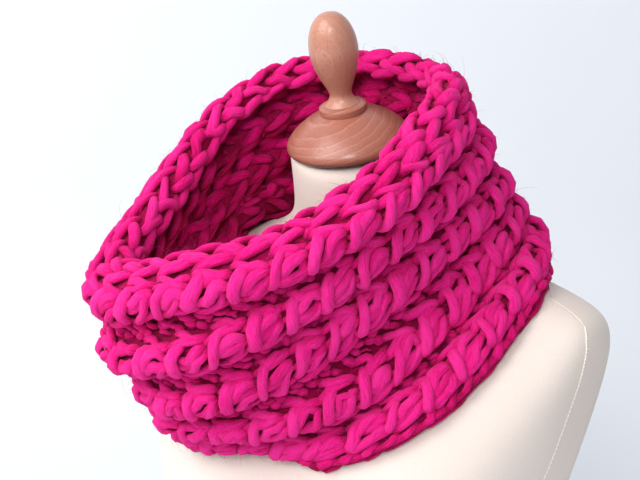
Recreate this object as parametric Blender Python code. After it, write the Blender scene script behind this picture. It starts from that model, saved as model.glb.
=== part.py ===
"""A chunky ridged tube scarf (cowl) worn on a limbless dress form with a turned wood neck cap."""

import math

import bmesh
import bpy
from mathutils import Matrix, Vector
from mathutils.bvhtree import BVHTree

# Sizes in metres. The form faces -Y, its wearer's left is +X, and it stands on z = 0.

# The scarf: a knitted tube of five ridges, worn slack, high at the back and low in front.
SCARF_WALL = 0.009  # thickness of the knitted wall
SCARF_WAVE = 0.0062  # the wall's middle swings this much each way between ridge and valley
SCARF_SEGMENTS = 48
STEPS_PER_RIDGE = 5
REST_GAP = 0.0018  # clear space held at the wall's corners, so that its flats stay off the form

# One row a ridge, from the rim down to the hem. plan_y is the middle of the ring in plan.
# reach and height are in millimetres, every 30 degrees round the ring: at the front, then
# round by the wearer's left, the back and the wearer's right.
RIDGE_COLUMNS = ("name", "plan_y", "reach", "height")
RIDGES = (
    ("rim_ridge", -0.085,
     (163, 140, 130, 118, 116, 114, 107, 106, 107, 119, 136, 176),
     (436, 461, 499, 536, 557, 564, 568, 564, 551, 518, 469, 420)),
    ("second_ridge", -0.080,
     (160, 131, 121, 121, 131, 126, 108, 106, 110, 115, 130, 168),
     (390, 425, 466, 499, 530, 538, 538, 534, 518, 484, 430, 375)),
    ("third_ridge", -0.065,
     (152, 126, 117, 118, 137, 121, 106, 105, 109, 113, 130, 153),
     (349, 392, 434, 468, 500, 508, 504, 500, 486, 452, 400, 347)),
    ("fourth_ridge", -0.045,
     (141, 130, 123, 125, 140, 122, 104, 101, 102, 108, 136, 155),
     (318, 343, 386, 439, 480, 482, 478, 470, 462, 450, 372, 318)),
    ("hem_ridge", -0.030,
     (124, 128, 146, 153, 149, 122, 110, 114, 131, 142, 150, 148),
     (302, 314, 360, 432, 462, 452, 444, 441, 450, 440, 358, 300)),
)
# Beyond the rim ridge the cloth leans in and rolls over: steps inwards and upwards from its crest.
RIM_ROLL = ((0.031, 0.010), (0.030, 0.019), (0.022, 0.023), (0.010, 0.014))
RIM_LEAN_AT_BACK = 0.55  # the share of that lean kept behind the neck, where the rim stands up
# Beyond the hem ridge the plain edge lies on the form: a step for each row, along the form.
HEM_STEPS = (0.009, 0.008)

# The form, in level sections: half width, reach to the front and back, middle in y, how far
# the section leans forward in degrees, and how square its plan is (2 is an ellipse).
FORM_SEGMENTS = 48
FORM_COLUMNS = ("z", "half_width", "front", "back", "middle_y", "lean", "square")
FORM = (
    (0.000, 0.126, 0.100, 0.085, 0.000, 0, 2.3),
    (0.040, 0.129, 0.108, 0.088, 0.000, 0, 2.3),
    (0.090, 0.139, 0.124, 0.094, 0.000, 0, 2.3),
    (0.140, 0.151, 0.138, 0.100, 0.000, 0, 2.3),
    (0.180, 0.161, 0.148, 0.105, 0.000, 0, 2.35),
    (0.220, 0.170, 0.153, 0.110, 0.000, 0, 2.4),
    (0.260, 0.179, 0.149, 0.115, 0.000, 0, 2.5),
    (0.295, 0.188, 0.138, 0.120, 0.000, 0, 2.6),
    (0.330, 0.196, 0.119, 0.122, 0.001, 0, 2.65),
    (0.360, 0.203, 0.097, 0.119, 0.003, 0, 2.6),
    (0.382, 0.2065, 0.076, 0.110, 0.005, 0, 2.55),
    (0.398, 0.206, 0.060, 0.096, 0.006, 0, 2.5),
    (0.409, 0.199, 0.051, 0.083, 0.006, 0, 2.4),
    (0.419, 0.177, 0.047, 0.073, 0.005, 0, 2.25),
    (0.429, 0.147, 0.047, 0.066, 0.003, 0, 2.15),
    (0.439, 0.114, 0.049, 0.061, -0.002, 0, 2.1),
    (0.449, 0.086, 0.050, 0.057, -0.008, 1, 2.05),
    (0.459, 0.068, 0.050, 0.053, -0.014, 3, 2.0),
    (0.470, 0.0575, 0.0495, 0.051, -0.0195, 6, 2.0),
    (0.485, 0.0520, 0.0490, 0.0495, -0.0262, 10, 2.0),
    (0.505, 0.0490, 0.0480, 0.0480, -0.0335, 15, 2.0),
    (0.5255, 0.0478, 0.0475, 0.0475, -0.0400, 18, 2.0),
)

# The turned wood: (radius, height) up the neck's own leaning axis, from the cap's seat.
NECK_TOP = Vector((0.0, -0.0400, 0.5255))
NECK_LEAN = math.radians(18)
CAP_GAP = 0.0006
WOOD_SEGMENTS = 32
CAP_PROFILE = (
    (0.0000, 0.0000),
    (0.0465, 0.0000),
    (0.0489, 0.0012),
    (0.0494, 0.0040),
    (0.0480, 0.0078),
    (0.0435, 0.0130),
    (0.0365, 0.0186),
    (0.0290, 0.0232),
    (0.0215, 0.0265),
    (0.0188, 0.0276),
    (0.0191, 0.0296),
    (0.0186, 0.0330),
    (0.0150, 0.0343),
    (0.0000, 0.0343),
)
FINIAL_PROFILE = (
    (0.0000, 0.0346),
    (0.0142, 0.0346),
    (0.0114, 0.0372),
    (0.0093, 0.0404),
    (0.0088, 0.0434),
    (0.0097, 0.0470),
    (0.0126, 0.0535),
    (0.0162, 0.0625),
    (0.0186, 0.0715),
    (0.0194, 0.0790),
    (0.0189, 0.0868),
    (0.0169, 0.0950),
    (0.0133, 0.1022),
    (0.0080, 0.1075),
    (0.0000, 0.1094),
)


def clear_scene():
    for thing in list(bpy.data.objects):
        bpy.data.objects.remove(thing, do_unlink=True)


def material(name, colour, roughness):
    made = bpy.data.materials.new(name)
    made.use_nodes = True
    shader = made.node_tree.nodes["Principled BSDF"]
    shader.inputs["Base Color"].default_value = (*colour, 1.0)
    shader.inputs["Roughness"].default_value = roughness
    made.diffuse_color = (*colour, 1.0)
    return made


def named_object(name, points, faces, surface):
    """A smooth-shaded object of this name, with its faces turned out."""
    mesh = bpy.data.meshes.new(name)
    mesh.from_pydata([tuple(point) for point in points], [], faces)
    shape = bmesh.new()
    shape.from_mesh(mesh)
    bmesh.ops.recalc_face_normals(shape, faces=shape.faces)
    shape.to_mesh(mesh)
    shape.free()
    mesh.materials.append(surface)
    mesh.shade_smooth()
    made = bpy.data.objects.new(name, mesh)
    bpy.context.scene.collection.objects.link(made)
    return made


def round_value(values, turn):
    """A smooth closed curve through values spaced evenly round a ring, read at turn (0 to 1)."""
    count = len(values)
    place = (turn % 1.0) * count
    first = int(place)
    part = place - first
    before, here, after, beyond = (values[(first + i) % count] for i in (-1, 0, 1, 2))
    bend = 2 * before - 5 * here + 4 * after - beyond
    swing = 3 * here - before - 3 * after + beyond
    return here + 0.5 * part * (after - before + part * (bend + part * swing))


def superellipse(angle, half_width, depth, square):
    """A point of a plan that is squarer than an ellipse."""
    side = math.sin(angle)
    ahead = math.cos(angle)
    power = 2.0 / square
    return (
        half_width * math.copysign(abs(side) ** power, side),
        depth * math.copysign(abs(ahead) ** power, ahead),
    )


def form_ring(z, half_width, front, back, middle_y, lean, square):
    """One section of the form, leaning forward about its own middle."""
    tilt = Matrix.Rotation(math.radians(lean), 4, "X")
    ring = []
    for step in range(FORM_SEGMENTS):
        angle = math.tau * step / FORM_SEGMENTS
        depth = front if math.cos(angle) > 0 else back
        x, ahead = superellipse(angle, half_width, depth, square)
        ring.append(tilt @ Vector((x, -ahead, 0.0)) + Vector((0.0, middle_y, z)))
    return ring


def skin(rings, closed_ends=True):
    """Quads between successive rings, with a fan at each end."""
    count = len(rings[0])
    points = [point for ring in rings for point in ring]
    faces = []
    for row in range(len(rings) - 1):
        for step in range(count):
            after = (step + 1) % count
            low = row * count
            high = low + count
            faces.append((low + step, low + after, high + after, high + step))
    if closed_ends:
        for row in (0, len(rings) - 1):
            middle = sum(rings[row], Vector()) / count
            points.append(middle)
            for step in range(count):
                after = (step + 1) % count
                faces.append((row * count + step, row * count + after, len(points) - 1))
    return points, faces


def build_form(surface):
    points, faces = skin([form_ring(*row) for row in FORM])
    return named_object("form_body", points, faces, surface)


def build_turned(name, profile, surface):
    """A turned piece on the neck's leaning axis, from its (radius, height) profile."""
    place = Matrix.Translation(NECK_TOP) @ Matrix.Rotation(NECK_LEAN, 4, "X")
    points = []
    faces = []
    rows = profile[1:-1]
    for radius, height in rows:
        for step in range(WOOD_SEGMENTS):
            angle = math.tau * step / WOOD_SEGMENTS
            around = Vector((radius * math.cos(angle), radius * math.sin(angle), height + CAP_GAP))
            points.append(place @ around)
    for row in range(len(rows) - 1):
        for step in range(WOOD_SEGMENTS):
            after = (step + 1) % WOOD_SEGMENTS
            low = row * WOOD_SEGMENTS
            high = low + WOOD_SEGMENTS
            faces.append((low + step, low + after, high + after, high + step))
    for row, end in ((0, profile[0]), (len(rows) - 1, profile[-1])):
        points.append(place @ Vector((0.0, 0.0, end[1] + CAP_GAP)))
        for step in range(WOOD_SEGMENTS):
            after = (step + 1) % WOOD_SEGMENTS
            low = row * WOOD_SEGMENTS
            faces.append((low + step, low + after, len(points) - 1))
    return named_object(name, points, faces, surface)


def crests_at(turn):
    """The crest of each ridge at this turn, as (out, up, plan_y)."""
    found = []
    for _name, plan_y, reach, height in RIDGES:
        out = round_value(reach, turn) / 1000
        up = round_value(height, turn) / 1000
        found.append(Vector((out, up, plan_y)))
    return found


def profile_at(turn):
    """The middle line of the wall in one upright plane: (out, up, plan_y) from rim to hem."""
    crests = crests_at(turn)
    behind = (1 - math.cos(math.tau * turn)) / 2
    lean = 1 - (1 - RIM_LEAN_AT_BACK) * behind
    steps_in = [Vector((-inward * lean, upward, 0.0)) for inward, upward in RIM_ROLL]
    half = SCARF_WALL / 2
    line = [crests[0] + step for step in steps_in]
    for index in range(len(crests) - 1):
        here = crests[index]
        after = crests[index + 1]
        down = after - here
        length = math.hypot(down.x, down.y)
        outward = Vector((-down.y, down.x, 0.0)) / length
        for step in range(STEPS_PER_RIDGE):
            part = step / STEPS_PER_RIDGE
            dip = half + SCARF_WAVE * (1 - math.cos(math.tau * part))
            line.append(here + down * part - outward * dip)
    last_down = (crests[-1] - crests[-2]).normalized()
    last_out = Vector((-last_down.y, last_down.x, 0.0)).normalized()
    line.append(crests[-1] - last_out * half)
    return line


def in_space(spot, turn):
    angle = math.tau * turn
    return Vector((spot.x * math.sin(angle), spot.z - spot.x * math.cos(angle), spot.y))


def kept_off(point, tree, distance):
    """The point, moved out of the form where it comes nearer than this distance."""
    near, outward, _face, _far = tree.find_nearest(point)
    off = (point - near).dot(outward)
    if off >= distance and (point - near).length >= distance:
        return point
    if off > 0 and (point - near).length > distance:
        return point
    return near + outward * distance


def hem_points(foot, above, tree, distance):
    """The plain edge beyond the hem ridge, stepping on along the form's surface."""
    found = []
    way = foot - above
    for step in HEM_STEPS:
        _near, outward, _face, _far = tree.find_nearest(foot)
        along = (way - outward * way.dot(outward)).normalized()
        foot = kept_off(foot + along * step, tree, distance)
        near, outward, _face, _far = tree.find_nearest(foot)
        foot = foot.lerp(near + outward * distance, 0.6)
        found.append(foot)
    return found


def grid_normals(grid):
    """The outward direction of the wall at each of its middle points."""
    rows = len(grid)
    count = len(grid[0])
    normals = []
    for row in range(rows):
        line = []
        for step in range(count):
            along = grid[row][(step + 1) % count] - grid[row][step - 1]
            down = grid[min(row + 1, rows - 1)][step] - grid[max(row - 1, 0)][step]
            line.append(along.cross(down).normalized() * -1)
        normals.append(line)
    return normals


def build_scarf(tree, surface):
    """The ridged wall: its middle line swept round, then thickened both ways."""
    lines = []
    for step in range(SCARF_SEGMENTS):
        turn = step / SCARF_SEGMENTS
        lines.append([in_space(spot, turn) for spot in profile_at(turn)])
    clear = SCARF_WALL / 2 + REST_GAP
    for line in lines:
        line[:] = [kept_off(point, tree, clear) for point in line]
        line.extend(hem_points(line[-1], line[-1 - STEPS_PER_RIDGE], tree, clear))
    rows = len(lines[0])
    grid = [[line[row] for line in lines] for row in range(rows)]
    normals = grid_normals(grid)
    half = SCARF_WALL / 2
    outer = []
    inner = []
    for row in range(rows):
        end = row in (0, rows - 1)
        thick = half * (0.8 if end else 1.0)
        outer.append([p + n * thick for p, n in zip(grid[row], normals[row])])
        inside = [p - n * thick for p, n in zip(grid[row], normals[row])]
        inner.append([kept_off(p, tree, REST_GAP) for p in inside])
    loop = outer + inner[::-1]
    points = [point for ring in loop for point in ring]
    faces = []
    for row in range(len(loop)):
        low = row * SCARF_SEGMENTS
        high = ((row + 1) % len(loop)) * SCARF_SEGMENTS
        for step in range(SCARF_SEGMENTS):
            after = (step + 1) % SCARF_SEGMENTS
            faces.append((low + step, low + after, high + after, high + step))
    return named_object("scarf", points, faces, surface)


def main():
    clear_scene()
    jersey = material("cream_jersey", (0.80, 0.72, 0.62), 0.85)
    wood = material("beech_wood", (0.62, 0.33, 0.16), 0.35)
    wool = material("magenta_wool", (0.72, 0.02, 0.24), 0.9)
    form = build_form(jersey)
    build_turned("neck_cap", CAP_PROFILE, wood)
    build_turned("finial", FINIAL_PROFILE, wood)
    tree = BVHTree.FromPolygons(
        [vertex.co.copy() for vertex in form.data.vertices],
        [tuple(face.vertices) for face in form.data.polygons],
    )
    build_scarf(tree, wool)


main()
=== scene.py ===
# %% [markdown]
# # A chunky knitted infinity scarf on a dress form
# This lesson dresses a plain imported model. The model gives the true size and place of four
# pieces: the scarf's wall, the form's body, its turned neck cap and its finial. Here each one
# gets the surface that the real thing has: thick roving yarn, jersey and oiled beech.

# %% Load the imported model
import math

import bmesh
import bpy
import numpy as np
from mathutils import Matrix, Vector
from mathutils.bvhtree import BVHTree


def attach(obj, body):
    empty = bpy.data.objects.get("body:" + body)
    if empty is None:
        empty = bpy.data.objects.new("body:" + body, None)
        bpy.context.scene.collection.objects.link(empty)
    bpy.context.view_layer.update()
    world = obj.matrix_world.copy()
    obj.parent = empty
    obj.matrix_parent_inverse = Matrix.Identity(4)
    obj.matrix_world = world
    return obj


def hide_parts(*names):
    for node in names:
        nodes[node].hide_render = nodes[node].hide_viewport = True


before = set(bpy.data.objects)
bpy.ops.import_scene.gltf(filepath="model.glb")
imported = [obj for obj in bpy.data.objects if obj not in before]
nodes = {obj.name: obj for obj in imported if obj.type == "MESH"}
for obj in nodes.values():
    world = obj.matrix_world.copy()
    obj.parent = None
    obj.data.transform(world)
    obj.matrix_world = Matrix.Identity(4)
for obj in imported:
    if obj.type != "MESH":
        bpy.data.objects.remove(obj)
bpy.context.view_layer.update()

rng = np.random.default_rng(815)
MM = 0.001
print("packed pieces:", sorted(nodes))

# %% [markdown]
# ## The camera first
# The camera looks at the form from its wearer's left front and a little from above, and it is
# tipped by two degrees. Its place is worked out from two angles and a distance, which is
# easier to correct than a bare location.

# %% Place the camera
CAMERA_AIM = Vector((-0.0064, -0.0655, 0.4493))
CAMERA_AZIMUTH = math.radians(37)
CAMERA_ELEVATION = math.radians(12)
CAMERA_ROLL = math.radians(1.9)
CAMERA_DISTANCE = 1.15
CAMERA_LENS_MM = 80.9

turn_round = Matrix.Rotation(CAMERA_AZIMUTH, 4, "Z")
look_level = Matrix.Rotation(math.radians(90) - CAMERA_ELEVATION, 4, "X")
tip = Matrix.Rotation(CAMERA_ROLL, 4, "Z")
turned = turn_round @ look_level @ tip
camera_data = bpy.data.cameras.new("camera")
camera_data.lens = CAMERA_LENS_MM
camera_data.sensor_width = 36
camera = bpy.data.objects.new("camera", camera_data)
camera.matrix_world = Matrix.Translation(CAMERA_AIM + turned @ Vector((0, 0, CAMERA_DISTANCE))) @ turned
bpy.context.scene.collection.objects.link(camera)
bpy.context.scene.camera = camera
bpy.context.scene.view_settings.view_transform = "Standard"
print("camera stands at", [round(value, 3) for value in camera.matrix_world.translation])

# %% [markdown]
# ## Helpers for making meshes
# Knitting repeats one small shape hundreds of times, so the yarn is made by a function from
# arrays of numbers: each strand is a soft tube along its own short path. One mesh then holds
# all the strands of a ridge.


# %% Deselect, and make a mesh object from arrays
def deselect_all():
    if bpy.context.mode != "OBJECT":
        bpy.ops.object.mode_set(mode="OBJECT")
    bpy.ops.object.select_all(action="DESELECT")


def object_from_arrays(name, points, quads, tone=None, uv=None):
    """A smooth mesh object from an array of points and one of quads, with a tone for each point that carries
    random tone and painted shade and light.
    """
    mesh = bpy.data.meshes.new(name)
    mesh.vertices.add(len(points))
    mesh.vertices.foreach_set("co", np.asarray(points, np.float32).ravel())
    mesh.loops.add(quads.size)
    mesh.loops.foreach_set("vertex_index", quads.astype(np.int32).ravel())
    mesh.polygons.add(len(quads))
    mesh.polygons.foreach_set("loop_start", np.arange(0, quads.size, 4, dtype=np.int32))
    mesh.update(calc_edges=True)
    mesh.shade_smooth()
    if tone is not None:
        mesh.attributes.new("tone", "FLOAT", "POINT").data.foreach_set("value", tone.astype(np.float32))
    if uv is not None:
        layer = mesh.uv_layers.new(name="strand")
        layer.data.foreach_set("uv", np.asarray(uv, np.float32)[quads.ravel()].ravel())
    made = bpy.data.objects.new(name, mesh)
    bpy.context.scene.collection.objects.link(made)
    return made


# %% [markdown]
# ## The form of the cloth
# The scarf is one tube of five fat ridges. A row of the table holds a ridge: how far it
# reaches from the middle, and how high it lies, every 30 degrees round, in millimetres. The
# same rule as the solid's gives the middle of the wall, and finer steps make it smooth.

# %% The ridges of the tube
WALL = 0.009
WAVE = 0.0062
REST_GAP = 0.0018
STEPS = 5
RIM_ROLL = ((0.031, 0.010), (0.030, 0.019), (0.022, 0.023), (0.010, 0.014))
RIM_LEAN_AT_BACK = 0.55
HEM_STEPS = (0.009, 0.008)
HEM_SPREAD = 30  # columns to each side over which the edge's drop is evened out
RIDGES = (
    ("rim_ridge", -0.085,
     (163, 140, 130, 118, 116, 114, 107, 106, 107, 119, 136, 176),
     (436, 461, 499, 536, 557, 564, 568, 564, 551, 518, 469, 420)),
    ("second_ridge", -0.080,
     (160, 131, 121, 121, 131, 126, 108, 106, 110, 115, 130, 168),
     (390, 425, 466, 499, 530, 538, 538, 534, 518, 484, 430, 375)),
    ("third_ridge", -0.065,
     (152, 126, 117, 118, 137, 121, 106, 105, 109, 113, 130, 153),
     (349, 392, 434, 468, 500, 508, 504, 500, 486, 452, 400, 347)),
    ("fourth_ridge", -0.045,
     (141, 130, 123, 125, 140, 122, 104, 101, 102, 108, 136, 155),
     (318, 343, 386, 439, 480, 482, 478, 470, 462, 450, 372, 318)),
    ("hem_ridge", -0.030,
     (124, 128, 146, 153, 149, 122, 110, 114, 131, 142, 150, 148),
     (302, 314, 360, 432, 462, 452, 444, 441, 450, 440, 358, 300)),
)
TURNS = 480  # columns of the fine cloth grid
FINE = 6  # fine rows for each row of the solid's wall


def curve_between(before, here, after, beyond, part):
    """A smooth curve from here to after, where part goes from 0 to 1."""
    bend = 2 * before - 5 * here + 4 * after - beyond
    swing = 3 * here - before - 3 * after + beyond
    return here + 0.5 * part * (after - before + part * (bend + part * swing))


def round_values(values, turns):
    """A smooth closed curve through values spaced evenly round a ring."""
    values = np.asarray(values, float)
    count = len(values)
    place = (turns % 1.0) * count
    first = np.floor(place).astype(int)
    part = place - first
    before, here, after, beyond = (values[(first + i) % count] for i in (-1, 0, 1, 2))
    return curve_between(before, here, after, beyond, part)


def wall_rows(turns):
    """Rows of (out, up, plan_y) down the middle of the wall, for an array of turns."""
    crests = []
    for _name, plan_y, reach, height in RIDGES:
        flat = np.full_like(turns, plan_y)
        crests.append(np.stack([round_values(reach, turns) * MM, round_values(height, turns) * MM, flat], 1))
    behind = (1 - np.cos(math.tau * turns)) / 2
    lean = 1 - (1 - RIM_LEAN_AT_BACK) * behind
    rows = []
    for inward, upward in RIM_ROLL:
        step = np.stack([-inward * lean, np.full_like(lean, upward), np.zeros_like(lean)], 1)
        rows.append(crests[0] + step)
    for here, after in zip(crests, crests[1:]):
        down = after - here
        outward = np.stack([-down[:, 1], down[:, 0], np.zeros(len(down))], 1)
        outward /= np.hypot(down[:, 0], down[:, 1])[:, None]
        for step in range(STEPS):
            part = step / STEPS
            dip = WALL / 2 + WAVE * (1 - math.cos(math.tau * part))
            rows.append(here + down * part - outward * dip)
    last = crests[-1] - crests[-2]
    last /= np.linalg.norm(last, axis=1)[:, None]
    out = np.stack([-last[:, 1], last[:, 0], np.zeros(len(last))], 1)
    out /= np.linalg.norm(out, axis=1)[:, None]
    rows.append(crests[-1] - out * WALL / 2)
    return rows


def in_space(row, turns):
    """Places in space for a row of (out, up, plan_y), one for each turn."""
    angle = math.tau * turns
    return np.stack([row[:, 0] * np.sin(angle), row[:, 2] - row[:, 0] * np.cos(angle), row[:, 1]], 1)


# %% [markdown]
# The cloth rests on the form, so points that would sink into it are moved out to its surface,
# and the plain edge below the last ridge is laid along the form step by step. The edge's drop
# is then evened out round the tube, so that it has no notch.


# %% Lay the wall on the form
def tree_of(node):
    """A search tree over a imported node's triangles."""
    mesh = node.data
    corners = [vertex.co.copy() for vertex in mesh.vertices]
    return BVHTree.FromPolygons(corners, [tuple(face.vertices) for face in mesh.polygons])


form_tree = tree_of(nodes["form_body"])


def kept_off(point, distance):
    """The point, or the nearest one that is this far from the form."""
    near, outward, _face, _far = form_tree.find_nearest(point)
    gap = (point - near).length
    if (point - near).dot(outward) > 0 and gap >= distance:
        return point
    return near + outward * distance


def hem_points(foot, above, distance):
    """Points that carry the cloth on along the form, below the last ridge."""
    found = []
    way = foot - above
    for step in HEM_STEPS:
        _near, outward, _face, _far = form_tree.find_nearest(foot)
        along = (way - outward * way.dot(outward)).normalized()
        foot = kept_off(foot + along * step, distance)
        near, outward, _face, _far = form_tree.find_nearest(foot)
        foot = foot.lerp(near + outward * distance, 0.6)
        found.append(foot)
    return found


def smooth_rows(grid, fine):
    """More rows between the given ones, on smooth curves through them."""
    rows = len(grid)
    padded = np.concatenate([grid[:1] * 2 - grid[1:2], grid, grid[-1:] * 2 - grid[-2:-1]])
    place = np.linspace(0, rows - 1, (rows - 1) * fine + 1)
    first = np.minimum(place.astype(int), rows - 2)
    part = (place - first)[:, None, None]
    before, here, after, beyond = (padded[first + i] for i in (0, 1, 2, 3))
    return curve_between(before, here, after, beyond, part)


turns = np.arange(TURNS) / TURNS
clear = WALL / 2 + REST_GAP
columns = np.stack([in_space(row, turns) for row in wall_rows(turns)])
laid = np.empty((len(columns) + len(HEM_STEPS), TURNS, 3))
for column in range(TURNS):
    line = [kept_off(Vector(point), clear) for point in columns[:, column]]
    line += hem_points(line[-1], line[-1 - STEPS], clear)
    laid[:, column] = line
last_crest = laid[-len(HEM_STEPS) - 1]
for row in range(-len(HEM_STEPS), 0):
    drop = laid[row] - last_crest
    even = np.mean([np.roll(drop, shift, 0) for shift in range(-HEM_SPREAD, HEM_SPREAD + 1)], axis=0)
    for column in range(TURNS):
        laid[row, column] = kept_off(Vector(last_crest[column] + even[column]), clear)
cloth = smooth_rows(laid, FINE)
crest_row = [(len(RIM_ROLL) + STEPS * ridge) * FINE for ridge in range(len(RIDGES))]
along = np.roll(cloth, -1, 1) - np.roll(cloth, 1, 1)
down = np.gradient(cloth, axis=0)
facing = -np.cross(along, down)
facing /= np.linalg.norm(facing, axis=2)[..., None]
ring_length = np.linalg.norm(np.roll(cloth, -1, 1) - cloth, axis=2).sum(1)
print("cloth grid", cloth.shape, "ridge lengths in mm", [round(ring_length[row] * 1000) for row in crest_row])

# %% [markdown]
# ## A map of the knitted surface
# A knitter counts along a ridge and across it. The map does the same: it takes a ridge, a
# turn round the scarf, a distance across towards the rim and a height off the cloth, and gives
# a place in space. Every strand can then be drawn as if the ridge lay flat on a table.

# %% From a place in the knitting to a place in space
RIDGE_HALF = 20.5  # mm from a ridge's crest to the middle of the valley beside it
ROWS_PER_RIDGE = STEPS * FINE

steps_down = np.linalg.norm(np.diff(cloth, axis=0), axis=2)
length_down = np.concatenate([np.zeros((1, TURNS)), np.cumsum(steps_down, axis=0)]) / MM


def row_at(ridge, column, across):
    """The grid row, as a decimal number, that lies this many mm from a ridge's crest."""
    crest = crest_row[ridge]
    rows = crest - across / (2 * RIDGE_HALF) * ROWS_PER_RIDGE
    edge = None
    if ridge == 0:
        edge = across > 0
    if ridge == len(RIDGES) - 1:
        edge = across < 0
    if edge is not None and edge.any():
        crest_length = length_down[crest, column[edge]]
        if ridge == 0:
            found = crest_length * (1 - across[edge] / length_down[crest].max())
        else:
            found = crest_length - across[edge]
        whole = length_down[:, column[edge]]
        above = np.clip((whole < found).sum(0), 1, len(whole) - 1)
        pick = np.arange(whole.shape[1])
        low, high = whole[above - 1, pick], whole[above, pick]
        rows[edge] = above - 1 + (found - low) / (high - low)
    return np.clip(rows, 0, len(cloth) - 1.001)


def on_cloth(ridge, turn, across):
    """Points of the wall's middle and the way it faces there, for arrays of any shape."""
    shape = turn.shape
    place = (turn.ravel() % 1.0) * TURNS
    column = place.astype(int) % TURNS
    side = (place - place.astype(int))[:, None]
    row = row_at(ridge, column, across.ravel())
    top = row.astype(int)
    part = (row - top)[:, None]
    nearby = (column + 1) % TURNS
    found = []
    for grid in (cloth, facing):
        upper = grid[top, column] * (1 - side) + grid[top, nearby] * side
        lower = grid[top + 1, column] * (1 - side) + grid[top + 1, nearby] * side
        found.append(upper * (1 - part) + lower * part)
    points, normals = found
    normals = normals / np.linalg.norm(normals, axis=1)[:, None]
    return points.reshape(*shape, 3), normals.reshape(*shape, 3)


ridge_runs = []
for row in crest_row:
    hops = np.linalg.norm(np.roll(cloth[row], -1, 0) - cloth[row], axis=1)
    ridge_runs.append(np.concatenate([[0], np.cumsum(hops)]) / hops.sum())


def turn_at(ridge, share):
    """The turn at an even share of the way along a ridge, so that stitches keep one size."""
    whole = np.floor(share)
    return whole + np.interp(share - whole, ridge_runs[ridge], np.arange(TURNS + 1) / TURNS)


middle, outward = on_cloth(1, np.zeros(1), np.zeros(1))
print("the second ridge's crest at the front is", np.round(middle[0], 3), "facing", np.round(outward[0], 2))

# %% [markdown]
# ## One strand of roving
# Roving is unspun wool, so a strand is soft, fat in the middle and pinched where the stitch
# beside it holds it down. A strand here is a flattened tube with 8 sides. Many strands of one
# kind are made at once: their paths share one shape and differ by small random amounts.

# %% Make many strands from one path
SIDES = 8
RINGS = 11
UNITS = 30  # stitch units round the scarf
UNIT = 29.0  # mm, one unit along a ridge
CROWN = 9.0  # mm from the wall's middle to the tops of the strands
ring_angles = math.tau * np.arange(SIDES) / SIDES


def smooth_path(knots, count):
    """Points on a smooth curve through the knots, for an array (strands, knots, values)."""
    knots = np.concatenate([2 * knots[:, :1] - knots[:, 1:2], knots, 2 * knots[:, -1:] - knots[:, -2:-1]], 1)
    spans = knots.shape[1] - 3
    place = np.linspace(0, spans, count)
    first = np.minimum(place.astype(int), spans - 1)
    part = (place - first)[None, :, None]
    before, here, after, beyond = (knots[:, first + i] for i in (0, 1, 2, 3))
    return curve_between(before, here, after, beyond, part)


def strand_quads(strands, rings):
    """The faces of closed tubes, numbered strand by strand and ring by ring."""
    ring = np.arange(rings - 1)[:, None] * SIDES
    side = np.arange(SIDES)[None, :]
    beside = (side + 1) % SIDES
    walls = np.stack([ring + side, ring + beside, ring + SIDES + beside, ring + SIDES + side], -1)
    walls = walls.reshape(-1, 4)
    start = np.array([(0, 3, 2, 1), (0, 5, 4, 3), (0, 7, 6, 5)])
    end = (start[:, ::-1]) + (rings - 1) * SIDES
    one = np.concatenate([walls, start, end])
    return (one[None] + (np.arange(strands) * rings * SIDES)[:, None, None]).reshape(-1, 4)


def tubes(path, up, width, thick, roll):
    """Flattened tubes on paths, with widths, thicknesses (mm) and a roll about the path."""
    way = np.gradient(path, axis=1)
    way /= np.linalg.norm(way, axis=2)[..., None]
    side = np.cross(way, up)
    side /= np.linalg.norm(side, axis=2)[..., None]
    top = np.cross(side, way)
    turned_side = side * np.cos(roll)[..., None] + top * np.sin(roll)[..., None]
    turned_top = top * np.cos(roll)[..., None] - side * np.sin(roll)[..., None]
    across = np.cos(ring_angles) * 0.5
    lift = np.sign(np.sin(ring_angles)) * np.abs(np.sin(ring_angles)) ** 0.95 * 0.5
    points = path[:, :, None] + turned_side[:, :, None] * (width[..., None] * across)[..., None] * MM
    return points + turned_top[:, :, None] * (thick[..., None] * lift)[..., None] * MM


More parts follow.
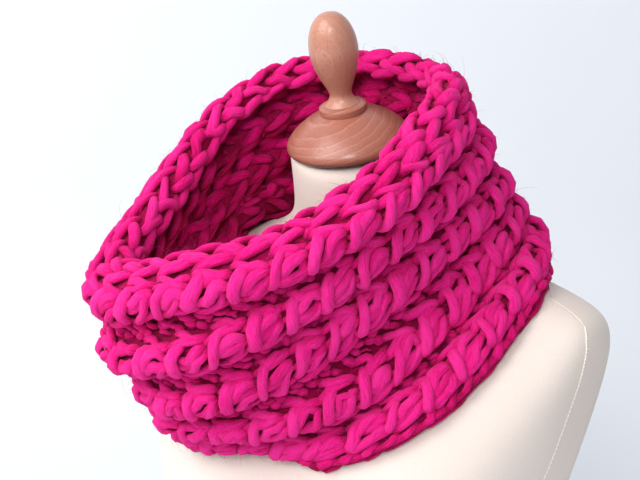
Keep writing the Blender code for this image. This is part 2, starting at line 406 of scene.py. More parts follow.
def make_strands(ridge, knots, width, thick, units, shift=0.0, wobble=0.7, roll=0.0, tuck=0.34, shade=0.0,
                 pitch=UNIT, uneven=0.10):
    """Strands of one kind along a ridge. A knot is (along, across, height) in mm."""
    count = len(units)
    knots = np.asarray(knots, float)
    drift = rng.normal(0, wobble, (count, len(knots), 3)) * (1.0, 1.0, 0.45)
    drift += rng.normal(0, wobble * 0.9, (count, 1, 3)) * (1.0, 0.8, 0.5)
    laid_out = smooth_path(knots[None] + drift, RINGS)
    turn = turn_at(ridge, (units[:, None] * pitch + shift + laid_out[..., 0]) / (UNITS * UNIT))
    middles, normals = on_cloth(ridge, turn, laid_out[..., 1])
    path = middles + normals * laid_out[..., 2][..., None] * MM
    place = np.linspace(-1, 1, RINGS)
    swell = tuck + (1 - tuck) * np.clip(1 - np.abs(place) ** 2.8, 0, 1) ** 0.75
    fat = 1 + rng.normal(0, uneven, (count, 1)) + 0.10 * np.sin(place * 2.6 + rng.uniform(0, 6, (count, 1)))
    wide = width * swell * fat
    deep = thick * swell * (1 + rng.normal(0, uneven * 0.6, (count, 1)))
    rolled = np.full((count, RINGS), roll) + rng.normal(0, 0.12, (count, 1))
    points = tubes(path, normals, wide, deep, rolled)
    lifted = laid_out[..., 2][..., None] + deep[..., None] * np.sin(ring_angles) * 0.5
    # painted shade: a point lying lower than the strands' tops gets a darker tone, as if shaded in the creases
    painted_crease_shade = (np.minimum(np.abs(lifted), CROWN) - CROWN) / CROWN
    # the tone sums the kind's painted shade offset, a random tone for each strand, the painted crease shade
    # and a painted shade where the strand pinches at its ends
    tone = shade + rng.normal(0, 0.05, (count, 1, 1)) + 0.62 * painted_crease_shade + 0.08 * (swell[None, :, None] - 1)
    steps = np.linalg.norm(np.diff(path, axis=1), axis=2)
    run = np.concatenate([np.zeros((count, 1)), np.cumsum(steps, 1)], 1) + rng.uniform(0, 3, (count, 1))
    girth = np.abs((np.arange(SIDES) / SIDES * 2) - 1) * 0.020
    strand_uv = np.stack(np.broadcast_arrays(run[..., None], girth[None, None]), -1)
    return points, np.broadcast_to(tone, points.shape[:3]), strand_uv


def join_strands(name, kinds):
    """One mesh object from several kinds of strand."""
    points = np.concatenate([kind[0].reshape(-1, 3) for kind in kinds])
    tone = np.concatenate([kind[1].reshape(-1) for kind in kinds])
    strand_uv = np.concatenate([kind[2].reshape(-1, 2) for kind in kinds])
    count = sum(len(kind[0]) for kind in kinds)
    return object_from_arrays(name, points, strand_quads(count, RINGS), tone, strand_uv)


# %% [markdown]
# ## The ridges of yarn
# In each unit of 29 mm one wide band crosses over the ridge, and leaves of yarn run along the
# ridge, below it and above it. The real maker lets the loops come as they will, so the bands
# differ in width and some lean more than others.

# %% Knit the five ridges
BASE = 4.3  # mm from the wall's middle to its outer face


def knit_ridge(ridge, edge_rows):
    """The strands of one ridge, with rows of (across, width) up its rim if it has one."""
    name = RIDGES[ridge][0]
    units = np.arange(UNITS) + rng.uniform(-0.05, 0.05, UNITS)
    start = rng.uniform(0, UNIT)
    kinds = []

    def lay(knots, width, thick, **more):
        shift = start + more.pop("offset", 0.0)
        kinds.append(make_strands(ridge, knots, width, thick, units, shift=shift, **more))

    # the wide band over the ridge, painted lighter on top
    lay([(8.6, 9.8, BASE - 4.4), (7.0, 7.2, BASE + 1.8), (3.4, 2.0, BASE + 4.8), (-0.4, -3.4, BASE + 4.6),
         (-3.8, -7.4, BASE + 1.6), (-6.2, -10.2, BASE - 4.4)], 9.6, 6.6, wobble=0.9, uneven=0.13, shade=0.08)
    # the leaf that runs along the ridge and tucks under the next band
    lay([(0.5, -3.4, BASE - 3.0), (6.3, -1.2, BASE + 2.2), (12.4, 1.4, BASE + 3.4), (18.2, 2.8, BASE + 3.0),
         (23.4, 2.2, BASE + 0.8), (26.6, 0.2, BASE - 3.6)], 7.8, 6.4, wobble=1.0)
    # the leaf below it
    lay([(-2.0, -9.8, BASE - 4.6), (4.4, -8.8, BASE + 0.8), (11.2, -6.0, BASE + 2.8), (17.6, -2.8, BASE + 2.8),
         (22.6, -0.6, BASE + 0.8), (26.0, 0.6, BASE - 4.0)], 7.4, 6.4, wobble=1.0, shade=0.02)
    # the leaf along the top of the ridge
    lay([(-4.4, 13.4, BASE - 4.4), (2.0, 12.8, BASE + 0.4), (9.4, 10.8, BASE + 2.2),
         (16.8, 8.6, BASE + 2.0), (23.0, 6.8, BASE + 0.2), (27.6, 5.4, BASE - 4.2)], 7.4, 6.4, wobble=1.0)
    # three thinner ones that fill in behind, darkened with painted shade
    for low, wide in ((-10.0, 7.0), (-3.0, 9.0), (5.0, 8.0)):
        lay([(-6.0, low, BASE - 2.0), (3.0, low + 0.6, BASE + 1.6), (12.0, low + 1.6, BASE + 2.2),
             (21.0, low + 2.2, BASE + 1.4), (28.0, low + 2.6, BASE - 2.0)], wide, 5.2, wobble=0.9, shade=-0.06)
    # the rows of the rim's roll, leaning by turns to one side and the other
    for number, (across, width) in enumerate(edge_rows):
        lean = 4.0 if number % 2 == 0 else -4.0
        lay([(-6.0, across - lean, BASE - 4.2), (3.0, across - lean * 0.5, BASE + 0.6),
             (13.0, across + lean * 0.2, BASE + 1.2), (22.0, across + lean * 0.8, BASE + 0.2),
             (28.5, across + lean * 1.2, BASE - 4.4)],
            width, 6.8, wobble=0.9, offset=9.0 * number)
    made = join_strands("yarn_" + name, kinds)
    print(made.name, "holds", sum(len(kind[0]) for kind in kinds), "strands")
    return made


rim_rows = ((18.5, 9.4), (26.0, 9.8), (33.5, 9.6), (40.5, 9.2), (46.5, 8.0))
yarn = [knit_ridge(ridge, rim_rows if ridge == 0 else ()) for ridge in range(len(RIDGES))]

# %% [markdown]
# ## Purl bumps in the valleys
# Between the ridges the back of the stitch shows: small round bumps in three rows, half as far
# apart as the bands above them, with dark gaps between.

# %% Knit the valleys
BUMP_ROWS = (-14.6, -19.6, -24.6)  # mm across from a ridge's crest
BUMPS_ROUND = UNITS * 2


def knit_bumps(ridge):
    """The purl bumps of the valley below a ridge."""
    kinds = []
    for across in BUMP_ROWS:
        places = np.arange(BUMPS_ROUND) + rng.uniform(-0.14, 0.14, BUMPS_ROUND)
        arch = [(-5.6, across + 2.6, BASE - 6.4), (-2.6, across + 2.0, BASE - 1.4),
                (0.6, across + 0.2, BASE + 0.4), (3.6, across - 1.8, BASE - 1.4),
                (6.0, across - 3.0, BASE - 6.4)]
        shift = rng.uniform(0, UNIT)
        # painted shade darkens the bumps down in the valley
        kinds.append(make_strands(ridge, arch, 7.0, 5.6, places, shift=shift, wobble=0.8, pitch=UNIT / 2,
                                  tuck=0.5, shade=-0.06, uneven=0.18))
    return kinds


bumps = []
for ridge in range(len(RIDGES) - 1):
    bumps += knit_bumps(ridge)
yarn.append(join_strands("yarn_valleys", bumps))
print("the valleys hold", sum(len(kind[0]) for kind in bumps), "purl bumps")

# %% [markdown]
# ## The cast-off edge
# The edge below the last ridge lies on the form. Its loops are thinner and slant, and under
# them runs the cast-off chain.

# %% Knit the lower edge
slant = [(-5.0, -22.0, BASE - 3.2), (-1.0, -18.6, BASE - 0.4), (4.0, -14.6, BASE - 0.2),
         (8.0, -11.6, BASE - 2.6)]
chain = [(-7.0, -22.0, BASE - 3.4), (0.0, -24.4, BASE - 2.0), (8.0, -22.2, BASE - 3.4)]
last = len(RIDGES) - 1
loops_round = np.arange(UNITS * 2)
# painted shade darkens the slanted loops and the chain
edge = [make_strands(last, slant, 6.2, 4.2, loops_round + 0.0, wobble=0.7, pitch=UNIT / 2, shade=-0.06),
        make_strands(last, chain, 5.6, 3.8, loops_round + 0.5, wobble=0.5, pitch=UNIT / 2, shade=-0.06)]
yarn.append(join_strands("yarn_lower_edge", edge))
print("the lower edge holds", sum(len(kind[0]) for kind in edge), "strands")

# %% [markdown]
# ## The inside of the tube
# Inside, the same stitches show their other face, as columns of leaves in a V. They lie flat
# against the wall, because the inside touches the neck.

# %% Knit the inside
INSIDE = -2.6  # mm from the wall's middle, on the neck's side


def knit_inside(ridge, across_rows, thick=4.6, depth=INSIDE):
    """Rows of flat leaves on a ridge's inner face, leaning by turns so that they pair into a V."""
    kinds = []
    for number, across in enumerate(across_rows):
        side = 1 if number % 2 else -1
        leaf = [(-10.0, across - 4.0 * side, depth + 2.0), (-2.0, across - 1.4 * side, depth - 0.4),
                (8.0, across + 1.6 * side, depth - 0.4), (17.0, across + 4.6 * side, depth + 2.0)]
        places = np.arange(UNITS) + rng.uniform(-0.06, 0.06, UNITS)
        # painted shade darkens the leaves on the inside of the tube
        kinds.append(make_strands(ridge, leaf, 9.6, thick, places, shift=rng.uniform(0, UNIT), wobble=0.9,
                                  shade=-0.10))
    return kinds


inner = knit_inside(0, (44.0, 36.0, 28.0, 20.0, 12.0, 4.0, -4.0, -12.0, -20.0))
for ridge in (1, 2, 3):
    inner += knit_inside(ridge, (12.5, 4.5, -4.0, -12.5, -20.5))
inner += knit_inside(last, (12.5, 4.5, -4.0, -12.0))
inner += knit_inside(last, (-18.5, -23.0), thick=6.0, depth=INSIDE - 0.4)
yarn.append(join_strands("yarn_inside", inner))
print("the inside holds", sum(len(kind[0]) for kind in inner), "strands")

# %% [markdown]
# ## The cloth under the yarn
# Behind the strands lies the knitted wall itself. Here it is a thin closed sheet, 3 mm thick,
# on the same curves, so that no daylight shows between two loops. The sheet is coloured with a
# deep painted shade, so that the gaps between the strands read as dark creases.

# %% Make the wall as a thin sheet
SHEET = 3.0  # mm thick
PAINTED_CREASE_SHADE = -0.60


def closed_sheet(name, every=2):
    """A closed sheet on the cloth grid, taking every second row and column of it."""
    rows = cloth[::every, ::every]
    normals = facing[::every, ::every]
    outer = rows + normals * SHEET / 2 * MM
    inner_side = rows - normals * SHEET / 2 * MM
    count, columns = rows.shape[:2]
    points = np.concatenate([outer, inner_side]).reshape(-1, 3)
    row = np.arange(count - 1)[:, None] * columns
    column = np.arange(columns)[None, :]
    beside = (column + 1) % columns
    outside = np.stack([row + column, row + columns + column, row + columns + beside, row + beside], -1)
    outside = outside.reshape(-1, 4)
    inside = outside[:, ::-1] + count * columns
    column = column[0]
    beside = beside[0]
    back = count * columns
    low = (count - 1) * columns
    top_edge = np.stack([column, beside, beside + back, column + back], -1)
    low_edge = np.stack([low + beside, low + column, low + column + back, low + beside + back], -1)
    quads = np.concatenate([outside, inside, top_edge, low_edge])
    # painted shade: the whole sheet takes one dark tone, standing for the shade between the strands
    tone = np.full(len(points), PAINTED_CREASE_SHADE)
    place = np.stack(np.meshgrid(np.arange(columns) / columns, np.arange(count) / count), -1)
    strand_uv = np.concatenate([place, place]).reshape(-1, 2)
    return object_from_arrays(name, points, quads, tone, strand_uv)


scarf_cloth = closed_sheet("scarf_cloth")
deep = float(np.median(length_down[-1])) * MM
around = float(ring_length.mean())
print(f"the tube is {around:.3f} m round and {deep:.3f} m deep")

# %% [markdown]
# ## Loose fibres
# Unspun wool sheds a halo of fine fibres. Each is a bent closed hair with three sides, set at
# random on the yarn, so that the scarf's outline is soft instead of sharp. The hairs have a paler
# tone than the strands, a painted light for fibres that catch it.

# %% Grow the fuzz
HAIRS = 9500
HAIR_RINGS = 4
HAIR_RADIUS = 0.13  # mm
PAINTED_HAIR_LIGHT = 0.20


def grow_fuzz(name):
    """One mesh of bent hairs with three sides each."""
    share = rng.uniform(0, 1, HAIRS)
    ridge_of = rng.integers(0, len(RIDGES), HAIRS)
    starts = np.empty((HAIRS, 3))
    ups = np.empty((HAIRS, 3))
    for ridge in range(len(RIDGES)):
        mine = ridge_of == ridge
        reach = 50 if ridge == 0 else 15
        across = rng.uniform(-14, reach, mine.sum())
        starts[mine], ups[mine] = on_cloth(ridge, turn_at(ridge, share[mine]), across)
    starts = starts + ups * rng.uniform(5.0, 8.0, (HAIRS, 1)) * MM
    way = rng.normal(0, 1, (HAIRS, 3))
    way -= ups * (way * ups).sum(1)[:, None]
    way /= np.linalg.norm(way, axis=1)[:, None]
    curl = rng.normal(0, 1, (HAIRS, 3))
    length = rng.gamma(3.2, 1.7, (HAIRS, 1, 1)) * MM
    run = np.linspace(0, 1, HAIR_RINGS)[None, :, None]
    rise = rng.uniform(0.1, 0.9, (HAIRS, 1, 1))
    path = starts[:, None] + length * (way[:, None] * run + ups[:, None] * rise * np.sin(run * 2.4) * 0.7)
    path = path + length * 0.35 * curl[:, None] * run ** 2
    along_way = np.gradient(path, axis=1)
    along_way /= np.linalg.norm(along_way, axis=2)[..., None]
    side = np.cross(along_way, ups[:, None] + 0.3 * curl[:, None])
    side /= np.linalg.norm(side, axis=2)[..., None]
    top = np.cross(side, along_way)
    angles = math.tau * np.arange(3) / 3
    size = HAIR_RADIUS * MM * (1 - 0.7 * run[..., None])
    points = path[:, :, None] + size * (np.cos(angles)[:, None] * side[:, :, None]
                                        + np.sin(angles)[:, None] * top[:, :, None])
    ring = np.arange(HAIR_RINGS - 1)[:, None] * 3
    step = np.arange(3)[None, :]
    walls = np.stack([ring + step, ring + (step + 1) % 3, ring + 3 + (step + 1) % 3, ring + 3 + step], -1)
    first = (np.arange(HAIRS) * HAIR_RINGS * 3)[:, None, None]
    walls = (walls.reshape(1, -1, 4) + first).reshape(-1, 4)
    last_ring = (HAIR_RINGS - 1) * 3
    caps = (np.array([(2, 1, 0), (last_ring, last_ring + 1, last_ring + 2)])[None] + first).reshape(-1, 3)
    mesh = bpy.data.meshes.new(name)
    mesh.from_pydata(points.reshape(-1, 3).tolist(), [], walls.tolist() + caps.tolist())
    mesh.shade_smooth()
    # painted light: every hair gets the same pale tone
    mesh.attributes.new("tone", "FLOAT", "POINT").data.foreach_set(
        "value", np.full(len(mesh.vertices), PAINTED_HAIR_LIGHT, np.float32))
    mesh.uv_layers.new(name="strand")
    made = bpy.data.objects.new(name, mesh)
    bpy.context.scene.collection.objects.link(made)
    return made


fuzz = grow_fuzz("scarf_fuzz")
yarn.append(fuzz)
print("the fuzz has", HAIRS, "hairs in", len(fuzz.data.polygons), "faces")

# %% [markdown]
# ## The dress form's jersey cover
# The form is a moulded shell with fine cream jersey stretched over it, so it has no hard edge
# except at its flat foot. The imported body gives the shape. A merged copy of it is smoothed
# with a Subdivision Surface modifier, which is how a moulded shell is usually rounded.

# %% Cover the form
def smooth_copy(node, name, levels):
    """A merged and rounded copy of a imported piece, whose flat foot keeps its edge."""
    deselect_all()
    cover = node.copy()
    cover.data = node.data.copy()
    cover.name = name
    cover.data.name = name
    cover.parent = None
    bpy.context.scene.collection.objects.link(cover)
    bpy.context.view_layer.objects.active = cover
    cover.select_set(True)
    cover.data.materials.clear()
    bpy.ops.object.mode_set(mode="EDIT")
    bpy.ops.mesh.select_all(action="SELECT")
    bpy.ops.mesh.remove_doubles(threshold=0.00002)
    bpy.ops.mesh.customdata_custom_splitnormals_clear()
    bpy.ops.mesh.tris_convert_to_quads(face_threshold=math.radians(60), shape_threshold=math.radians(60))
    bpy.ops.mesh.select_all(action="DESELECT")
    bpy.ops.object.mode_set(mode="OBJECT")
    foot = [edge for edge in cover.data.edges
            if all(cover.data.vertices[corner].co.z < 0.0005 for corner in edge.vertices)]
    rim = sorted({corner for edge in foot for corner in edge.vertices})
    crease = cover.data.attributes.new("crease_edge", "FLOAT", "EDGE")
    for edge in foot:
        crease.data[edge.index].value = 0.9
    modifier = cover.modifiers.new("round", "SUBSURF")
    modifier.levels = levels
    modifier.render_levels = levels
    bpy.ops.object.modifier_apply(modifier="round")
    cover.data.shade_smooth()
    bpy.ops.object.shade_smooth_by_angle(angle=math.radians(50))
    deselect_all()
    print(name, "has", len(cover.data.polygons), "faces from", len(rim), "corners at the foot")
    return cover


form_cover = smooth_copy(nodes["form_body"], "form_cover", 2)

# %% [markdown]
# ## The seams of the cover
# The cover is cut from panels. One seam runs along each shoulder, and a pale row of stitches
# closes the plate over each armhole. A seam is a fine cord laid on the form, point by point.

# %% Lay the seams
SEAM_LIFT = 0.0002
STITCH_LIFT = 0.0004
CORD_RADIUS = 0.00055
cover_tree = BVHTree.FromPolygons([vertex.co.copy() for vertex in form_cover.data.vertices],
                                  [tuple(face.vertices) for face in form_cover.data.polygons])
SHOULDER_SEAM = (
    (0.098, -0.010, 0.450), (0.130, -0.006, 0.439), (0.160, -0.003, 0.428), (0.184, -0.002, 0.417),
    (0.200, -0.003, 0.406))
ARMHOLE_SEAM = (
    (0.200, -0.003, 0.406), (0.199, -0.006, 0.390), (0.196, -0.009, 0.370), (0.191, -0.013, 0.345),
    (0.185, -0.017, 0.315), (0.178, -0.022, 0.285), (0.170, -0.028, 0.255), (0.163, -0.030, 0.225))


def seam_line(corners, mirrored, count):
    """Pairs of (point, outward) on the cover, along a smooth line near the corners."""
    side = -1 if mirrored else 1
    knots = np.array([[(side * x, y, z) for x, y, z in corners]])
    line = []
    for point in smooth_path(knots, count)[0]:
        near, outward, _face, _far = cover_tree.find_nearest(Vector(point))
        line.append((near + outward * SEAM_LIFT, outward))
    return line


def lay_cord(name, lines, radius, sides=6):
    """A closed cord along each line of (point, outward) pairs, all in one mesh."""
    points = []
    quads = []
    for line in lines:
        path = np.array([point for point, _outward in line])
        up = np.array([outward for _point, outward in line])
        way = np.gradient(path, axis=0)
        way /= np.linalg.norm(way, axis=1)[:, None]
        side = np.cross(way, up)
        side /= np.linalg.norm(side, axis=1)[:, None]
        base = sum(len(block) for block in points)
        for place, point in enumerate(path):
            size = radius if 0 < place < len(path) - 1 else radius * 0.3
            angles = math.tau * np.arange(sides) / sides
            spokes = np.cos(angles)[:, None] * side[place] + np.sin(angles)[:, None] * up[place]
            points.append(point + size * spokes)
        for ring in range(len(path) - 1):
            low = base + ring * sides
            for step in range(sides):
                after = (step + 1) % sides
                quads.append((low + step, low + after, low + sides + after, low + sides + step))
        quads.append((base, base + 3, base + 2, base + 1))
        quads.append((base, base + 5, base + 4, base + 3))
        end = base + (len(path) - 1) * sides
        quads.append((end, end + 1, end + 2, end + 3))
        quads.append((end, end + 3, end + 4, end + 5))
    return object_from_arrays(name, np.concatenate(points), np.array(quads))


def stitches(line, length, gap):
    """Short closed stitches one after another along a line."""
    runs = []
    place = 0
    while place + length < len(line):
        runs.append(line[place:place + length + 1])
        place += length + gap
    return runs


shoulder_lines = [seam_line(SHOULDER_SEAM, mirrored, 40) for mirrored in (False, True)]
armhole_lines = [seam_line(ARMHOLE_SEAM, mirrored, 220) for mirrored in (False, True)]
form_seams = lay_cord("form_seams", shoulder_lines + [line[::4] for line in armhole_lines], CORD_RADIUS)
stitch_lines = []
for line in armhole_lines:
    raised = [(point + outward * STITCH_LIFT, outward) for point, outward in line]
    stitch_lines += stitches(raised, 3, 1)
form_stitches = lay_cord("form_stitches", stitch_lines, CORD_RADIUS)
print("the armholes have", len(stitch_lines), "stitches")

# %% [markdown]
# ## Turned beech
# The neck cap and the finial are turned on a lathe. Here the lathe is the Spin tool: a profile
# is drawn as an edge chain and spun round an axis. The neck leans forward by 18 degrees, so
# the finished turning is then tipped and set on the neck.

# %% Turn the neck cap and the finial
NECK_TOP = Vector((0.0, -0.0400, 0.5255))
NECK_LEAN = math.radians(18)
CAP_GAP = 0.0006
CAP_PROFILE = (
    (0.0000, 0.0000), (0.0458, 0.0000), (0.0466, 0.0001), (0.0482, 0.0007), (0.0491, 0.0020), (0.0494, 0.0038),
    (0.0491, 0.0056), (0.0480, 0.0078), (0.0460, 0.0104), (0.0435, 0.0130), (0.0403, 0.0158), (0.0365, 0.0186),
    (0.0328, 0.0210), (0.0290, 0.0232), (0.0252, 0.0250), (0.0215, 0.0265), (0.0196, 0.0272), (0.0188, 0.0276),
    (0.0190, 0.0280), (0.0191, 0.0296), (0.0191, 0.0318), (0.0188, 0.0327), (0.0176, 0.0334), (0.0150, 0.0343),
    (0.0000, 0.0343))
FINIAL_PROFILE = (
    (0.0000, 0.0346), (0.0142, 0.0346), (0.0127, 0.0358), (0.0114, 0.0372), (0.0102, 0.0387), (0.0093, 0.0404),
    (0.0088, 0.0420), (0.0088, 0.0434), (0.0091, 0.0450), (0.0097, 0.0470), (0.0110, 0.0501), (0.0126, 0.0535),
    (0.0145, 0.0579), (0.0162, 0.0625), (0.0176, 0.0670), (0.0186, 0.0715), (0.0192, 0.0753), (0.0194, 0.0790),
    (0.0193, 0.0829), (0.0189, 0.0868), (0.0181, 0.0910), (0.0169, 0.0950), (0.0153, 0.0988), (0.0133, 0.1022),
    (0.0108, 0.1052), (0.0080, 0.1075), (0.0042, 0.1089), (0.0000, 0.1094))
LATHE_STEPS = 96


def turned_piece(name, profile):
    """A profile of (radius, height) spun round, tipped and set on the neck."""
    deselect_all()
    mesh = bpy.data.meshes.new(name)
    mesh.from_pydata([(radius, 0, height) for radius, height in profile],
                     [(place, place + 1) for place in range(len(profile) - 1)], [])
    piece = bpy.data.objects.new(name, mesh)
    bpy.context.scene.collection.objects.link(piece)
    bpy.context.view_layer.objects.active = piece
    piece.select_set(True)
    bpy.ops.object.mode_set(mode="EDIT")
    bpy.ops.mesh.select_all(action="SELECT")
    bpy.ops.mesh.spin(steps=LATHE_STEPS, angle=math.tau, center=(0, 0, 0), axis=(0, 0, 1))
    bpy.ops.mesh.select_all(action="SELECT")
    bpy.ops.mesh.remove_doubles(threshold=0.00001)
    bpy.ops.mesh.normals_make_consistent(inside=False)
    bpy.ops.object.mode_set(mode="OBJECT")
    piece.location = (0, 0, CAP_GAP)
    bpy.ops.object.transform_apply(location=True, rotation=True, scale=True)
    piece.location = NECK_TOP
    piece.rotation_euler = (NECK_LEAN, 0, 0)
    bpy.ops.object.transform_apply(location=True, rotation=True, scale=True)
    bpy.ops.object.shade_smooth()
    bpy.ops.object.shade_smooth_by_angle(angle=math.radians(35))
    deselect_all()
    print(name, "has", len(piece.data.polygons), "faces")
    return piece


neck_cap = turned_piece("turned_neck_cap", CAP_PROFILE)
finial = turned_piece("turned_finial", FINIAL_PROFILE)

# %% [markdown]
# ## Writing materials as sums
# A node tree is easier to read as arithmetic. This small class wraps a socket, so that an
# expression such as `1 - mask * 0.3` adds the Math nodes by itself.


# %% A socket that does sums
class Value:
    def __init__(self, tree, socket):
        self.tree = tree
        self.socket = socket

    def maths(self, operation, other, swapped=False):
        node = self.tree.nodes.new("ShaderNodeMath")
        node.operation = operation
        pair = (other, self) if swapped else (self, other)
        for place, item in zip(node.inputs, pair):
            if isinstance(item, Value):
                self.tree.links.new(item.socket, place)
            else:
                place.default_value = item
        return Value(self.tree, node.outputs[0])

    def __add__(self, other):
        return self.maths("ADD", other)

    def __radd__(self, other):
        return self.maths("ADD", other)

    def __sub__(self, other):
        return self.maths("SUBTRACT", other)

    def __rsub__(self, other):
        return self.maths("SUBTRACT", other, swapped=True)

    def __mul__(self, other):
        return self.maths("MULTIPLY", other)

    def __truediv__(self, other):
        return self.maths("DIVIDE", other)


class Finish:
    """A Principled material and the nodes that vary it."""

    def __init__(self, name, **settings):
        self.material = bpy.data.materials.new(name)
        self.material.use_nodes = True
        self.tree = self.material.node_tree
        self.shader = self.tree.nodes["Principled BSDF"]
        for socket, value in settings.items():
            self.shader.inputs[socket.replace("_", " ")].default_value = value

    def node(self, kind, settings=None, **inputs):
        """Any node: its settings first, then a value or a link for each socket."""
        made = self.tree.nodes.new("ShaderNode" + kind)
        for key, value in (settings or {}).items():
            if key == "stops":
                ramp = made.color_ramp
                while len(ramp.elements) < len(value):
                    ramp.elements.new(0.5)
                for element, (place, colour) in zip(ramp.elements, value):
                    element.position = place
                    element.color = (*colour, 1)
            else:
                setattr(made, key, value)
        for key, value in inputs.items():
            socket = made.inputs[int(key[1:])] if key[0] == "i" and key[1:].isdigit() else made.inputs[key]
            if isinstance(value, Value):
                self.tree.links.new(value.socket, socket)
            else:
                socket.default_value = value
        return made

    def value(self, node, output=0):
        return Value(self.tree, node.outputs[output])

    def mix(self, factor, first, second, blend="MIX"):
        colours = [(*colour, 1) if isinstance(colour, tuple) else colour for colour in (first, second)]
        settings = {"data_type": "RGBA", "blend_type": blend}
        return self.value(self.node("Mix", settings, i0=factor, i6=colours[0], i7=colours[1]), 2)

    def place(self, scale=(1, 1, 1), turn=(0, 0, 0), kind="Object"):
        coordinates = self.value(self.node("TexCoord"), kind)
        return self.value(self.node("Mapping", None, Vector=coordinates, Scale=scale, Rotation=turn))

    def noise(self, where, scale, detail=3.0, rough=0.5):
        made = self.node("TexNoise", None, Vector=where, Scale=scale, Detail=detail, Roughness=rough)
        return self.value(made)

    def feed(self, socket, value):
        self.tree.links.new(value.socket, self.shader.inputs[socket])

    def bump(self, height, distance, strength=1.0, after=None):
        inputs = {"Height": height, "Distance": distance, "Strength": strength}
        if after is not None:
            inputs["Normal"] = after
        return self.value(self.node("Bump", None, **inputs))


def between(value, low, high):
    """0 below low and 1 above high, straight between."""
    node = value.tree.nodes.new("ShaderNodeMapRange")
    value.tree.links.new(value.socket, node.inputs[0])
    node.inputs[1].default_value = low
    node.inputs[2].default_value = high
    return Value(value.tree, node.outputs[0])


print("the material helpers are ready")

# %% [markdown]
# ## Magenta roving wool
# Wool looks deepest in the creases, where light bounces from strand to strand, and paler on
# top, where the loose fibres catch the light. Here that shade and light are painted into the
# colour: the tone kept for each point when the strands were made holds a random tone together
# with painted crease shade and painted light on top. The fibres run along a strand with a slight
# twist, so their streaks follow its UV map.

# %% Finish the wool
wool = Finish("magenta_roving", Roughness=0.88, Sheen_Weight=0.10, Sheen_Roughness=0.4,
              Sheen_Tint=(1.0, 0.45, 0.72, 1.0), Specular_IOR_Level=0.08)
tone = wool.value(wool.node("Attribute", {"attribute_name": "tone"}), 2)
along_strand = wool.place(kind="UV", turn=(0, 0, 0.22))
drawn_out = wool.value(wool.node("Mapping", None, Vector=along_strand, Scale=(90, 900, 1)))
fibres = wool.noise(drawn_out, 1.0, 4.0, 0.65)
fluff = wool.noise(wool.place(), 1100.0, 3.0, 0.7)
slubs = wool.noise(wool.value(wool.node("Mapping", None, Vector=along_strand, Scale=(60, 90, 1))), 1.0, 2.0)
patches = wool.noise(wool.place(), 22.0, 2.0)
level = tone + (fibres - 0.5) * 1.60 + (fluff - 0.5) * 0.90 + (patches - 0.5) * 0.30 + (slubs - 0.5) * 0.35
# the ramp runs from the deep crimson of painted crease shade to the pale pink of painted light on top
yarn_colour = wool.node("ValToRGB", {"stops": (
    (0.00, (0.24, 0.000, 0.030)), (0.30, (0.56, 0.002, 0.108)),
    (0.62, (0.78, 0.008, 0.205)), (1.00, (0.90, 0.030, 0.300)))}, Fac=between(level, -0.72, 0.22))
wool.feed("Base Color", wool.value(yarn_colour))
soft = wool.bump(slubs, 0.0020, 0.6)
wool.feed("Normal", wool.bump(fibres + fluff * 0.6, 0.0012, 0.9, after=soft))
for piece in [scarf_cloth, *yarn]:
    piece.data.materials.append(wool.material)
print("the wool has", len(wool.tree.nodes), "nodes")

# %% [markdown]
# ## Cream jersey
# Jersey is a fine knit of about a millimetre a loop. It is nearly smooth at this distance, but
# it softens every highlight. The stitches of the armhole are of a paler thread.

# %% Finish the jersey and its thread
jersey = Finish("cream_jersey", Roughness=0.82, Sheen_Weight=0.15, Sheen_Roughness=0.5,
                Specular_IOR_Level=0.25)
loops = jersey.noise(jersey.place(scale=(1.0, 1.0, 0.7)), 900.0, 2.0)
cloudy = jersey.noise(jersey.place(), 9.0, 2.0)
paler = between(loops * 0.35 + cloudy * 0.65, 0.35, 0.65)
jersey.feed("Base Color", jersey.mix(paler, (0.75, 0.645, 0.575), (0.81, 0.71, 0.64)))
jersey.feed("Normal", jersey.bump(loops, 0.0003, 0.5))
thread = Finish("pale_thread", Roughness=0.6, Sheen_Weight=0.2)
strands_of_thread = thread.noise(thread.place(), 1500.0, 2.0)
thread.feed("Base Color", thread.mix(strands_of_thread, (0.84, 0.76, 0.66), (0.95, 0.89, 0.80)))
thread.feed("Normal", thread.bump(strands_of_thread, 0.0002, 0.4))
form_cover.data.materials.append(jersey.material)
form_seams.data.materials.append(jersey.material)
form_stitches.data.materials.append(thread.material)
print("the jersey and its thread are on the form")

# %% [markdown]
# ## Oiled beech
# The cap is cut from a board, so the growth layers lie nearly level in it and the dome cuts
# them into nested rings, like the contour lines of a hill. The finial's grain runs along its
# length. Both show the short dark flecks of beech, and a thin satin varnish.


# %% Finish the beech
PLAIN_BEECH = (0.47, 0.205, 0.138)
FLECK_BROWN = (0.22, 0.075, 0.040)


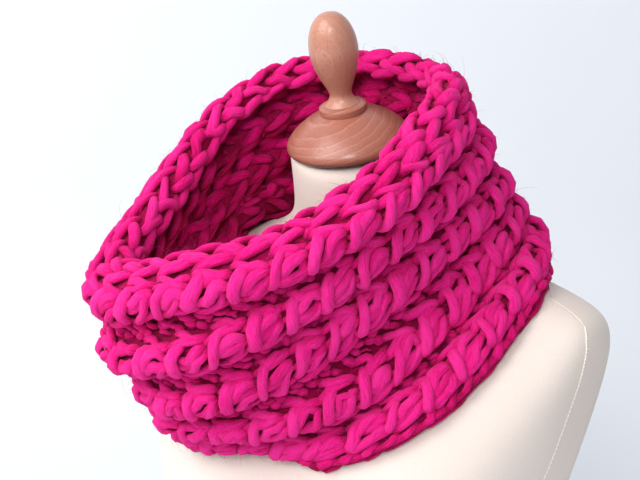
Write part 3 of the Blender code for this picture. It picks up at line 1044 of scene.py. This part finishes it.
def beech_finish(name, layers_turn, layer_height, fleck_scale, depth, figure):
    """Beech with its layers turned and spaced as given. Depth darkens it, figure shows its rings, and a
    painted shade darkens its lowest few millimetres, under the cap's rim.
    """
    beech = Finish(name, Roughness=0.42, Coat_Weight=0.35, Coat_Roughness=0.22, Specular_IOR_Level=0.45)
    coordinates = beech.value(beech.node("TexCoord"), "Object")
    local = beech.value(beech.node("Mapping", {"vector_type": "TEXTURE"}, Vector=coordinates,
                                   Location=NECK_TOP, Rotation=(NECK_LEAN, 0, 0)))
    waves = beech.noise(local, 28.0, 2.0)
    tipped = beech.value(beech.node("Mapping", None, Vector=local, Rotation=layers_turn))
    parts = beech.node("SeparateXYZ", None, Vector=tipped)
    layer = beech.value(parts, 2) / layer_height + waves * 1.6
    ring = layer.maths("FRACT", 0.0)
    stretched = beech.value(beech.node("Mapping", None, Vector=local, Scale=fleck_scale))
    fine = beech.noise(stretched, 1.0, 3.0, 0.6)
    bands = beech.node("ValToRGB", {"stops": (
        (0.00, (0.56, 0.29, 0.205)), (0.07, (0.42, 0.170, 0.112)), (0.30, (0.45, 0.190, 0.126)),
        (0.85, (0.48, 0.215, 0.145)), (0.95, (0.57, 0.300, 0.210)))}, Fac=ring)
    figured = beech.mix(figure, PLAIN_BEECH, beech.value(bands))
    flecks = between(fine, 0.57, 0.64)
    coloured = beech.mix(flecks * 0.60, figured, FLECK_BROWN)
    broad = beech.noise(local, 60.0, 2.0)
    coloured = beech.mix(broad * 0.35, coloured, (0.52, 0.23, 0.145))
    coloured = beech.mix(1.0, coloured, (depth, depth * depth, depth * depth), "MULTIPLY")
    height = beech.value(beech.node("SeparateXYZ", None, Vector=local), 2)
    # painted shade: the lowest few millimetres, under the cap's rim, turn nearly black
    painted_shade_under_rim = 1 - between(height, 0.0014, 0.0036)
    beech.feed("Base Color", beech.mix(painted_shade_under_rim * 0.8, coloured, (0.05, 0.018, 0.010)))
    beech.feed("Roughness", 0.36 + flecks * 0.12 + broad * 0.06)
    beech.feed("Normal", beech.bump(1 - flecks, 0.00012, 0.5))
    return beech


cap_beech = beech_finish("beech_on_the_flat", (-0.13, 0.17, 0), 0.0046, (300, 1300, 1300), 0.80, 1.0)
finial_beech = beech_finish("beech_upright", (1.45, 0.2, 0), 0.0048, (1300, 1300, 240), 1.0, 0.35)
neck_cap.data.materials.append(cap_beech.material)
finial.data.materials.append(finial_beech.material)
print("the beech is on the cap and the finial")

# %% [markdown]
# ## A pale room
# The form stands on a pale floor that sweeps up into a pale wall. The sweep is one smooth
# strip, extruded and bent, so that no line shows where the floor ends. From behind, a camera
# sees through it, so that the form can be looked at all round.

# %% Sweep the floor up into a wall
to_camera = Vector((math.sin(CAMERA_AZIMUTH), -math.cos(CAMERA_AZIMUTH), 0))
to_side = Vector((math.cos(CAMERA_AZIMUTH), math.sin(CAMERA_AZIMUTH), 0))
WALL_BEHIND = 0.75
SWEEP_RADIUS = 0.35
FLOOR_AHEAD = 3.2
WALL_HEIGHT = 2.6
HALF_WIDTH = 2.6
SWEEP_STEPS = 16
section = [(-FLOOR_AHEAD, 0.0), (WALL_BEHIND - SWEEP_RADIUS, 0.0)]
for step in range(1, SWEEP_STEPS + 1):
    angle = math.radians(90) * step / SWEEP_STEPS
    section.append((WALL_BEHIND - SWEEP_RADIUS + SWEEP_RADIUS * math.sin(angle),
                    SWEEP_RADIUS - SWEEP_RADIUS * math.cos(angle)))
section.append((WALL_BEHIND, WALL_HEIGHT))
floor_points = [-to_camera * back + to_side * side + Vector((0, 0, height - 0.0005))
                for side in (-HALF_WIDTH, HALF_WIDTH) for back, height in section]
count = len(section)
floor_mesh = bpy.data.meshes.new("floor")
floor_mesh.from_pydata(floor_points, [], [(place + count, place + count + 1, place + 1, place)
                                          for place in range(count - 1)])
floor_mesh.shade_smooth()
floor = bpy.data.objects.new("floor", floor_mesh)
bpy.context.scene.collection.objects.link(floor)
paint = Finish("pale_paint", Roughness=0.7, Specular_IOR_Level=0.2)
mottle = paint.noise(paint.place(), 3.0, 2.0)
paint.feed("Base Color", paint.mix(mottle, (0.73, 0.755, 0.795), (0.755, 0.78, 0.82)))
from_behind = Value(paint.tree, paint.node("NewGeometry").outputs["Backfacing"])
seen_directly = Value(paint.tree, paint.node("LightPath").outputs["Is Camera Ray"])
paint.feed("Alpha", 1 - from_behind * seen_directly)
floor.data.materials.append(paint.material)
print("the sweep has", len(floor_mesh.polygons), "faces")

# %% [markdown]
# ## Soft daylight
# One broad window light comes from the camera's left and above, a weaker one from beside the
# camera puts the small highlights on the wood, and the world fills the shadows.


# %% Light the room
def window_light(name, left, up, distance, size, power, colour):
    """A square lamp that many radians left of the camera and above the form."""
    data = bpy.data.lights.new(name, "AREA")
    data.shape = "SQUARE"
    data.size = size
    data.energy = power
    data.color = colour
    lamp = bpy.data.objects.new(name, data)
    toward = to_camera * math.cos(left) - to_side * math.sin(left)
    toward = (toward * math.cos(up) + Vector((0, 0, math.sin(up)))).normalized()
    lamp.location = CAMERA_AIM + toward * distance
    lamp.rotation_euler = toward.to_track_quat("Z", "Y").to_euler()
    bpy.context.scene.collection.objects.link(lamp)


window_light("window", math.radians(52), math.radians(38), 2.2, 1.7, 54, (1.0, 0.985, 0.97))
window_light("second_window", math.radians(8), math.radians(28), 2.4, 0.6, 20, (0.97, 0.985, 1.0))
world = bpy.data.worlds.new("daylight")
world.use_nodes = True
world.node_tree.nodes["Background"].inputs["Color"].default_value = (0.90, 0.95, 1.0, 1.0)
world.node_tree.nodes["Background"].inputs["Strength"].default_value = 0.46
bpy.context.scene.world = world
print("two windows and the sky light the form")

# %% [markdown]
# ## Fasten each piece
# Every piece rides on the one imported body and takes the place of its imported solid, which is hidden.

# %% Fasten the pieces to the frame
for piece in [scarf_cloth, *yarn]:
    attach(piece, "root")
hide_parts("scarf")
for piece in (form_cover, form_seams, form_stitches):
    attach(piece, "root")
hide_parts("form_body")
for piece, node in ((neck_cap, "neck_cap"), (finial, "finial")):
    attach(piece, "root")
    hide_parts(node)
